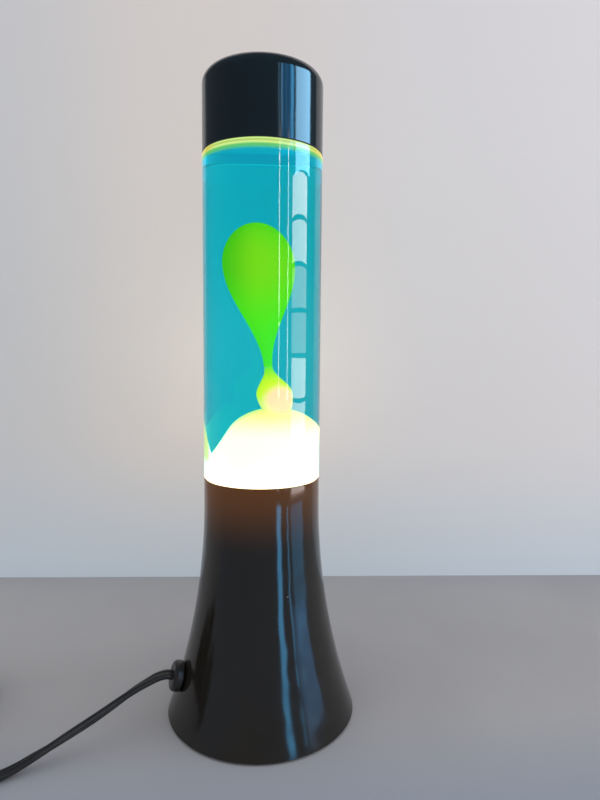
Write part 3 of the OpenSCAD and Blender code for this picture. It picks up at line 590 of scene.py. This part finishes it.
def cap_outline():
    inner, bend = CAP_R - CAP_WALL, (CAP_R - CAP_EDGE, CAP_TOP - CAP_EDGE)
    rim = [(inner, CAP_Z + CAP_CHAMFER), (inner + CAP_CHAMFER, CAP_Z), (CAP_R - CAP_CHAMFER, CAP_Z),
           (CAP_R, CAP_Z + CAP_CHAMFER)]
    side = [(CAP_R, CAP_Z + RING_FIRST + RING_STEP * i) for i in range(CAP_RINGS)]
    return (rim + side + arc(bend, CAP_EDGE, 0, 90, 16) + [(0.0, CAP_TOP), (0.0, CAP_TOP - CAP_WALL)]
            + arc(bend, CAP_EDGE - CAP_WALL, 90, 0, 12))


cap_skin = mesh_object("cap_skin", *lathe(cap_outline(), closed=True), CAP_PAINT)
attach(cap_skin, "cap")
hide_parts("cap")
print("cap from z mm", CAP_Z, "to", CAP_TOP)

# %% [markdown]
# ## Bottle
#
# Thick clear glass with a foot that goes into the base, a solid edge under the cap and a neck for the closure.
# It could be a tube that is given a thickness by a modifier, but turning one closed outline keeps the thick edge
# and the step at the foot. At the mouth of the base the glass catches some light of the wax, so a thin line
# there has a painted glow by its height.

# %% Bottle
SEAT_Z, FLOOR_Z, STEP_Z = 105.5, 108.5, 115.8
SPIGOT_R, GLASS, INNER_R, SPIGOT_IN = 25.9, 2.2, 25.3, 23.7
SHOULDER_T, COLLAR_R, COLLAR_Z, NECK_Z, NECK_TOP, FINISH_R = 3.0, 25.5, 270.5, 275.5, 288.0, 16.0
GLASS_EDGE, HEEL, WET_GAP = 0.8, 2.0, 0.05
WALL_RINGS, WALL_EASE, FOOT_SLOPE, NECK_SLOPE = 30, 2, 1.5, 1.5
LIT_Z, LIQUID_TOP = 259.5, 268.5
FOOT_LINE_Z, FOOT_LINE_R = (115.6, 115.9, 116.4, 117.2), (26.0, 26.2)
GLASS_IOR = 1.5


def bottle_outline():
    """Up the outside from the middle of the seat, over the neck and down the inside to the floor's middle."""
    edge, shoulder, floor = CAP_R - GLASS_EDGE, CAP_Z - SHOULDER_T, FLOOR_Z - WET_GAP
    outside = ([(0.0, SEAT_Z)] + arc((SPIGOT_R - HEEL, SEAT_Z + HEEL), HEEL, -90, 0, EDGE_STEPS)
               + [(SPIGOT_R, STEP_Z)] + arc((edge, STEP_Z + GLASS_EDGE), GLASS_EDGE, -90, 0, 6)
               + [(CAP_R, z) for z in np.linspace(STEP_Z + WALL_EASE, LIT_Z, WALL_RINGS)]
               + [(CAP_R, CAP_Z - WALL_EASE)] + arc((edge, CAP_Z - GLASS_EDGE), GLASS_EDGE, 0, 90, 6)
               + [(COLLAR_R, CAP_Z), (COLLAR_R, COLLAR_Z), (FINISH_R, NECK_Z), (FINISH_R, NECK_TOP)])
    collar, wall, foot = COLLAR_R - GLASS + WET_GAP, INNER_R + WET_GAP, SPIGOT_IN + WET_GAP
    bore = FINISH_R - GLASS
    inside = [(bore, NECK_TOP), (bore, NECK_Z - NECK_SLOPE), (collar, LIQUID_TOP), (collar, shoulder),
              (wall, shoulder - 1), (wall, STEP_Z + FOOT_SLOPE), (foot, STEP_Z), (foot, floor), (0.0, floor)]
    return outside + inside


def seen_from_outside(wire):
    return 1 - wire.node("ShaderNodeNewGeometry", {}, {}, out="Backfacing")


def clear_glass(wire, painted_glow):
    return wire.node("ShaderNodeBsdfPrincipled", {}, {
        "Base Color": rgb(1.0, 1.0, 1.0), "Roughness": 0.0, "IOR": GLASS_IOR, "Transmission Weight": 1.0,
        "Emission Color": painted_glow, "Emission Strength": 1.0})


def bottle_glass():
    material, wire = new_material("bottle_glass")
    place = wire.place()
    height, radius = place.axis("Z") / MM, place.stretched((1, 1, 0)).apart((0, 0, 0)) / MM
    # painted glow of the wax's light, a thin line at the mouth of the base
    level = height.ramp(*FOOT_LINE_Z[:2]) * (1 - height.ramp(*FOOT_LINE_Z[2:]))
    foot_line = level * radius.ramp(*FOOT_LINE_R)
    painted_glow = (foot_line * seen_from_outside(wire)).mix(rgb(0, 0, 0), rgb(0.8, 0.6, 0.35))
    close(wire, clear_glass(wire, painted_glow))
    return material


def ride_on_bottle(piece, node):
    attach(piece, "bottle")
    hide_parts(node)


bottle_skin = mesh_object("bottle_skin", *lathe(bottle_outline()), bottle_glass())
ride_on_bottle(bottle_skin, "bottle")
print("bottle from z mm", SEAT_Z, "to", NECK_TOP)

# %% [markdown]
# ## Lit edge of the glass
#
# The wax sends light up inside the glass wall, and it comes out where the wall ends, under the cap: two fine
# yellow lines with a green rim below them that fades into the liquid's blue. This light is a painted glow, warmer
# towards both ends by x. The glow could be a ring laid over the glass, but a second material on those faces of the
# bottle adds no surface.

# %% Lit edge of the glass
BETWEEN_Z, GREEN_Z, LIT_FULL_Z = (262.7, 263.0, 263.6, 263.9), (261.5, 262.5), 261.2
ENDS_X2 = (330.0, 640.0)


def lit_glass():
    """Painted glow: lines by height, and a warmer glow by the square of x towards both ends."""
    material, wire = new_material("lit_glass")
    place = wire.place()
    height, across = place.axis("Z") / MM, place.axis("X") / MM
    between = height.ramp(*BETWEEN_Z[:2]) * (1 - height.ramp(*BETWEEN_Z[2:]))
    lines = between.mix(rgb(0.58, 0.8, 0.26), rgb(0.4, 0.58, 0.16))
    # painted glow, warmer towards both ends by x
    ends = (across * across).ramp(*ENDS_X2).mix(lines, rgb(0.6, 0.52, 0.08))
    glowing = wire.node("ShaderNodeBsdfPrincipled", {}, {
        "Base Color": rgb(0.1, 0.12, 0.01), "Roughness": 0.1, "IOR": GLASS_IOR,
        "Emission Color": height.ramp(*GREEN_Z).mix(rgb(0.05, 0.48, 0.16), ends), "Emission Strength": 1.0})
    share = height.ramp(LIT_Z, LIT_FULL_Z) * seen_from_outside(wire)
    clear = clear_glass(wire, rgb(0, 0, 0))
    close(wire, wire.node("ShaderNodeMixShader", {}, {0: share, 1: clear, 2: glowing}))
    return material


def another_material(piece, material, chosen):
    """Another material for the faces whose middle, a radius and a height in mm, is chosen."""
    piece.data.materials.append(material)
    finish, count = len(piece.data.materials) - 1, 0
    for face in piece.data.polygons:
        middle = face.center / MM
        if chosen(math.hypot(middle.x, middle.y), middle.z):
            face.material_index = finish
            count += 1
    return count


# the glass wall's end under the cap gets the painted glow of the lit edge
lit = another_material(bottle_skin, lit_glass(),
               lambda radius, z: radius > COLLAR_R and LIT_Z < z < CAP_Z + WET_GAP)
print("lit faces", lit)

# %% [markdown]
# ## Liquid
#
# Clear blue-green liquid that soaks up nearly all red light. Light passes from glass to liquid with no air
# between them, so the liquid's index of refraction is the ratio of the two. The two could share one surface, but
# then neither mesh would be closed, so the glass stands a hair outside the liquid and its wetted faces have a
# finish that lets light pass as it comes. What shows through the liquid's top is the dark inside of the cap,
# which the lit liquid outshines on the real lamp, so the far side of that part has a faint painted glow.

# %% Liquid
LIQUID_IOR, DYE_DENSITY = 1.36, 110.0
UNDER_CAP_Z = (263.5, 264.0)


def liquid_outline():
    return [(0.0, FLOOR_Z), (SPIGOT_IN, FLOOR_Z), (SPIGOT_IN, STEP_Z), (INNER_R, STEP_Z + FOOT_SLOPE),
            (INNER_R, LIQUID_TOP), (0.0, LIQUID_TOP)]


def liquid_dye_and_painted_glow():
    material, wire = new_material("liquid_dye_and_painted_glow")
    from_inside = wire.node("ShaderNodeNewGeometry", {}, {}, out="Backfacing")
    # painted glow of the lit liquid on the far side, under the cap
    under_cap = (wire.place().axis("Z") / MM).ramp(*UNDER_CAP_Z) * from_inside
    shader = wire.node("ShaderNodeBsdfPrincipled", {}, {
        "Base Color": rgb(0.25, 1.0, 1.0), "Roughness": 0.0, "IOR": LIQUID_IOR / GLASS_IOR,
        "Transmission Weight": 1.0,
        "Emission Color": under_cap.mix(rgb(0, 0, 0), rgb(0.15, 0.46, 0.5)), "Emission Strength": 1.0})
    soak = wire.node("ShaderNodeVolumeAbsorption", {}, {
        "Color": rgb(0.045, 0.927, 0.973), "Density": DYE_DENSITY})
    close(wire, shader, soak)
    return material


def wetted_glass():
    material, wire = new_material("wetted_glass")
    close(wire, wire.node("ShaderNodeBsdfTransparent", {}, {}))
    return material


liquid_skin = mesh_object("liquid_skin", *lathe(liquid_outline()), liquid_dye_and_painted_glow())
ride_on_bottle(liquid_skin, "liquid")
wet = another_material(bottle_skin, wetted_glass(),
               lambda radius, z: radius < INNER_R + 2 * WET_GAP and FLOOR_Z - 2 * WET_GAP < z < LIQUID_TOP)
print("liquid from z mm", FLOOR_Z, "to", LIQUID_TOP, "wetted faces", wet)

# %% [markdown]
# ## Wax
#
# The wax glows because the bulb shines up into it, and that light is painted into the wax as emission: white
# where it lies on the bottle's floor, then yellow, and a dim yellow in the drop, which the blue liquid turns
# green.
# It could be balls that melt into each other, but their outlines would only come near those in the photo. So the
# mound is a height over a flat disc whose rim follows the glass, and the bead and the drop are turned and lean a
# little.

# %% Wax
WAX_R = 25.0
MOUND_X, MOUND_R, MOUND_Z, SKIRT_A = 4.3, 17.5, 131.8, math.radians(24.2)
POOL_Z = 118.5
BEAD_R, BEAD_Z, BEAD_ROOT, BEAD_NECK, BEAD_LEAN = 6.3, 155.6, 11.5, 12.4, math.radians(10)
THREAD_R = 1.5
BLOB_R, BLOB_CROWN, BLOB_TAIL, BLOB_LEAN = 12.4, 18.4, 47.0, math.radians(4.2)
WAX_GAP, WAX_REACH, END_ROUND, FLOOR_GAP = 0.3, 0.12, 0.7, 0.2
MOUND_RINGS, DROP_STEPS = 48, 40
BEAD_CORE = (0.0076, -0.0056, 0.1529)
FILM_H, FILM_SPREAD = 25.0, math.radians(27)
WARM_Z, BEAD_LIT_Z, TAIL_LIT_Z, DROP_LIT_Z = (135.0, 150.0), (150.0, 156.0), (161.0, 171.0), (182.0, 214.0)
NEAR_GLASS_R, DROP_SHADE_X, CORE_REACH, TINT_Z = (20.0, 24.5), (-15.0, -1.0), (4.4, 8.8), (130.0, 200.0)
FILM_X, FILM_Z = (-23.6, -22.0), (122.0, 127.0)
BEAD_TIP = (MOUND_X - BEAD_NECK * math.sin(BEAD_LEAN), BEAD_Z + BEAD_NECK * math.cos(BEAD_LEAN))


def mound_height(distance):
    bend = MOUND_R * math.cos(SKIRT_A)
    if distance <= bend:
        return MOUND_Z + math.sqrt(MOUND_R ** 2 - distance ** 2)
    return max(POOL_Z, MOUND_Z + MOUND_R * math.sin(SKIRT_A) - (distance - bend) / math.tan(SKIRT_A))


def film_height(angle):
    """How far the wax creeps up the glass at the left."""
    return FILM_H * math.exp(-((angle - math.pi) / FILM_SPREAD) ** 2)


def mound_mesh():
    """A cap of rings round the mound's axis out to the glass, then a wall down to the floor."""
    rings, points, faces = MOUND_RINGS, [(MOUND_X, 0.0, MOUND_Z + MOUND_R)], []
    for i in range(1, rings + 3):
        for k in range(SEGMENTS):
            a = 2 * math.pi * k / SEGMENTS
            reach = math.sqrt(WAX_R ** 2 - (MOUND_X * math.sin(a)) ** 2) - MOUND_X * math.cos(a)
            distance = reach * min(i, rings) / rings
            z = mound_height(distance)
            if i == rings:
                z += film_height(a)
            if i > rings:
                z = STEP_Z if i == rings + 1 else FLOOR_Z + FLOOR_GAP
                distance -= (INNER_R - SPIGOT_IN) * (i - rings - 1)
            points.append((MOUND_X + distance * math.cos(a), distance * math.sin(a), z))
    for k in range(SEGMENTS):
        j = (k + 1) % SEGMENTS
        faces.append((0, 1 + k, 1 + j))
        for i in range(rings + 1):
            low, high = 1 + i * SEGMENTS, 1 + (i + 1) * SEGMENTS
            faces.append((low + k, high + k, high + j, low + j))
    faces.append(tuple(1 + (rings + 1) * SEGMENTS + k for k in reversed(range(SEGMENTS))))
    return points, faces


def drop_outline(belly, crown, tail):
    """A turned drop: its tail points down and its widest place is z = 0."""
    steps = DROP_STEPS
    low = [(0.0, -tail - WAX_REACH), (THREAD_R * END_ROUND, -tail - WAX_REACH * END_ROUND)]
    side = [(THREAD_R + (belly - THREAD_R) * ease(1 - i / steps), -tail * (1 - i / steps))
            for i in range(steps + 1)]
    top = [(belly * math.cos(math.pi / 2 * i / steps), crown * math.sin(math.pi / 2 * i / steps))
           for i in range(1, steps)]
    return low + side + top + [(0.0, crown)]


def leaned(points, lean, spot, flip):
    """Points turned about the y axis, upside down if flip says so, and set at (x, z)."""
    c, s = math.cos(lean), math.sin(lean)
    sign = -1 if flip else 1
    return [(spot[0] + x * c - sign * z * s, y * sign, spot[1] + x * s + sign * z * c) for x, y, z in points]


def wax_glow():
    """Painted light of the bulb, as emission: tones by height, painted shade by x, near the glass and on the film,
    and the bead's bright core.
    """
    material, wire = new_material("wax_glow")
    place = wire.place()
    height = place.axis("Z") / MM
    level = height + place.noise(70.0) * 2.0 - 1.0
    # painted light of the bulb: white low down, yellow higher up
    warm = level.ramp(*WARM_Z).mix(rgb(16.0, 2.2, 0.95), rgb(14.0, 1.2, 0.22))
    radius = place.stretched((1, 1, 0)).apart((0, 0, 0)) / MM
    # painted shade: dimmer near the glass
    warm = radius.ramp(*NEAR_GLASS_R).mix(warm, rgb(2.6, 2.1, 1.4))
    bead = level.ramp(*BEAD_LIT_Z).mix(warm, rgb(11.0, 1.12, 0.0))
    tail = level.ramp(*TAIL_LIT_Z).mix(bead, rgb(1.05, 0.88, 0.0))
    across = place.axis("X") / MM
    # painted shade: the drop is darker towards its left
    belly = across.ramp(*DROP_SHADE_X).mix(rgb(0.6, 0.58, 0.0), rgb(1.4, 0.72, 0.0))
    upper = level.ramp(*DROP_LIT_Z).mix(tail, belly)
    # painted light: a bright core in the bead
    core = (place.apart(BEAD_CORE) / MM).ramp(*CORE_REACH).mix(rgb(17.0, 0.86, 0.46), upper)
    # painted shade: the thin film at the left glows dimly
    film = (1 - across.ramp(*FILM_X)) * height.ramp(*FILM_Z)
    painted_glow = film.mix(core, rgb(1.5, 0.95, 0.3))
    shader = wire.node("ShaderNodeBsdfPrincipled", {}, {
        "Base Color": height.ramp(*TINT_Z).mix(rgb(0.5, 0.45, 0.2), rgb(0.25, 0.35, 0.02)),
        "Roughness": place.noise(120.0) * 0.2 + 0.35,
        "Specular IOR Level": 0.0,
        "Emission Color": painted_glow, "Emission Strength": 1.0,
        "Normal": place.noise(60.0).bump(0.08, 0.0004)})
    close(wire, shader)
    return material


def add_wax():
    painted_glow = wax_glow()
    points, faces = mound_mesh()
    bead, bead_faces = lathe(drop_outline(BEAD_R, BEAD_ROOT, BEAD_NECK), base=len(points))
    points += leaned(bead, BEAD_LEAN, (MOUND_X, BEAD_Z), flip=True)
    ride_on_bottle(mesh_object("wax_mound", points, faces + bead_faces, painted_glow), "wax_pool")
    middle = (BEAD_TIP[0] - BLOB_TAIL * math.sin(BLOB_LEAN),
              BEAD_TIP[1] + WAX_GAP + BLOB_TAIL * math.cos(BLOB_LEAN))
    body, body_faces = lathe(drop_outline(BLOB_R, BLOB_CROWN, BLOB_TAIL))
    drop = mesh_object("wax_drop", leaned(body, BLOB_LEAN, middle, flip=False), body_faces, painted_glow)
    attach(drop, "wax_blob")
    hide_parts("wax_blob")
    print("bead tip x, z", [round(v, 2) for v in BEAD_TIP], "drop's middle", [round(v, 2) for v in middle])


add_wax()

# %% [markdown]
# ## Table and backdrop
#
# The lamp stands on a plain matt table in front of a plain wall. One curved sheet could be both, but in the photo
# the wall meets the table in a line. The wall is only there from the front, so that the lamp can be looked at
# from behind.

# %% Table and backdrop
TABLE_HALF = 2500
WALL_AT, WALL_TURN = (29.3, 164.4), math.radians(-1.74)
WALL_LEFT, WALL_RIGHT, WALL_TOP = -240, 290, 900


def matt_sheet(wire, colour):
    return wire.node("ShaderNodeBsdfPrincipled", {}, {
        "Base Color": colour, "Specular IOR Level": 0.0,
        "Normal": wire.place().noise(900.0).bump(0.05, 0.0003)})


def table_top():
    """Painted shade, darker and bluer towards the front."""
    material, wire = new_material("table_top")
    place = wire.place()
    tone = place.noise(6.0).ramp(0.3, 0.7).mix(rgb(0.335, 0.343, 0.367), rgb(0.365, 0.373, 0.397))
    # painted shade: darker and bluer in front of the lamp
    colour = place.axis("Y").ramp(-0.1, 0.0).mix(rgb(0.255, 0.3, 0.378), tone)
    close(wire, matt_sheet(wire, colour))
    return material


def wall_paint():
    """Pale paint seen from the front only, with painted light: warmer beside the lamp, darker at the far left, and
    darker and bluer low down.
    """
    material, wire = new_material("wall_paint")
    across, height = wire.place().axis("X"), wire.place().axis("Z")
    # painted light: the lamp's warm glow on the wall beside it, darker at the far left
    left = across.ramp(-0.2, -0.06).mix(rgb(0.74, 0.75, 0.77), rgb(0.85, 0.8, 0.77))
    tone = across.ramp(-0.04, 0.13).mix(left, rgb(0.82, 0.81, 0.83))
    # painted shade: darker and bluer near the table
    colour = height.ramp(-0.02, 0.12).mix(rgb(0.65, 0.75, 0.85), tone)
    behind = wire.node("ShaderNodeNewGeometry", {}, {}, out="Backfacing")
    clear = wire.node("ShaderNodeBsdfTransparent", {}, {})
    close(wire, wire.node("ShaderNodeMixShader", {}, {0: behind, 1: matt_sheet(wire, colour), 2: clear}))
    return material


def wall_corner(along, z):
    return (WALL_AT[0] + along * math.cos(WALL_TURN), WALL_AT[1] + along * math.sin(WALL_TURN), z)


def add_stage():
    square = [(x * TABLE_HALF, y * TABLE_HALF, 0) for x, y in ((-1, -1), (1, -1), (1, 1), (-1, 1))]
    table = mesh_object("table", square, [(0, 1, 2, 3)], table_top())
    corners = [wall_corner(WALL_LEFT, 0), wall_corner(WALL_RIGHT, 0),
               wall_corner(WALL_RIGHT, WALL_TOP), wall_corner(WALL_LEFT, WALL_TOP)]
    wall = mesh_object("wall", corners, [(0, 1, 2, 3)], wall_paint())


add_stage()
print("wall stands at y mm", WALL_AT[1])

# %% [markdown]
# ## Light
#
# Soft daylight comes from all round and from a window to the right. A picture of the window could be mirrored
# instead, but plain panes, lines and bands of light beside the lamp put the same upright bars on cap, glass and
# base. They show in glossy surfaces alone, where the rest of the room is dim and lightest near the table's level.
# A faint glow behind the bottle stands for the light that wax and liquid throw on the wall.


# %% Light
def area_light(name, turn, distance, height, size, radiance, colour, spread=True, mirrored=True):
    """A rectangle that faces the lamp's axis, turned so many degrees to the right of the front; lengths in mm.

    With spread it lights matt surfaces, and with mirrored it shows in glossy ones, but never through glass.
    """
    data = bpy.data.lights.new(name, "AREA")
    data.shape = "RECTANGLE"
    data.size, data.size_y = size[0] * MM, size[1] * MM
    data.energy = radiance * math.pi * data.size * data.size_y
    data.color = colour
    light = bpy.data.objects.new(name, data)
    a = math.radians(turn)
    light.location = Vector((distance * math.sin(a), -distance * math.cos(a), height)) * MM
    light.rotation_euler = (math.pi / 2, 0, a)
    light.visible_camera = False
    light.visible_diffuse = spread
    light.visible_glossy = mirrored
    light.visible_transmission = False
    bpy.context.scene.collection.objects.link(light)


def add_world():
    world = bpy.data.worlds.new("daylight")
    world.use_nodes = True
    world.node_tree.nodes.clear()
    wire = Wire(world.node_tree)
    mirrored = wire.node("ShaderNodeLightPath", {}, {}, out="Is Glossy Ray")
    climb = wire.node("ShaderNodeTexCoord", {}, {}, out="Generated").axis("Z")
    room = climb.ramp(0.0, 0.16).mix(rgb(0.27, 0.27, 0.28), rgb(0.11, 0.13, 0.15))
    sky = wire.node("ShaderNodeBackground", {}, {
        "Color": mirrored.mix(rgb(0.95, 0.92, 0.91), room), "Strength": 1.0})
    wire.node("ShaderNodeOutputWorld", {}, {"Surface": sky})
    bpy.context.scene.world = world


def add_light():
    add_world()
    pale, blue, deep = (1.0, 0.87, 0.82), (0.3, 0.66, 1.0), (0.12, 0.55, 1.0)
    area_light("window", 74, 900, 450, (700, 700), 1.6, (1.0, 0.98, 0.96), mirrored=False)
    area_light("halo", 0, -62, 165, (50, 70), 2.0, (1.0, 0.9, 0.8), mirrored=False)
    for row, radiance in enumerate((7.0, 8.0, 3.2, 3.6, 8.0, 9.0)):
        area_light(f"pane_{row}", 74, 740, 50 + 74 * row, (460, 66), radiance, pale, spread=False)
    area_light("top_pane", 80, 720, 580, (450, 260), 14.0, blue, spread=False)
    area_light("top_haze", 46, 750, 610, (330, 260), 2.0, (0.01, 0.4, 1.0), spread=False)
    area_light("top_line", 55, 720, 610, (70, 260), 8.0, deep, spread=False)
    for turn, width in ((29, 10), (34.5, 24), (43, 6)):
        area_light(f"line_{turn}", turn, 700, 590, (width, 180), 7.0, blue, spread=False)
    for turn in (31, 48):
        area_light(f"tube_line_{turn}", turn, 700, 290, (16, 400), 14.0, pale, spread=False)
    area_light("low_band", 31.5, 300, 24, (38, 44), 6.5, deep, spread=False)
    area_light("low_line", 49, 300, 24, (9, 44), 6.5, deep, spread=False)
    area_light("low_pane", 70, 300, 24, (140, 44), 1.7, deep, spread=False)
    area_light("low_sheen", 60, 125, 22, (56, 40), 1.6, (0.17, 0.5, 1.0), spread=False)


add_light()
bpy.context.scene.view_settings.view_transform = "Standard"
print("lights", len(bpy.data.lights))
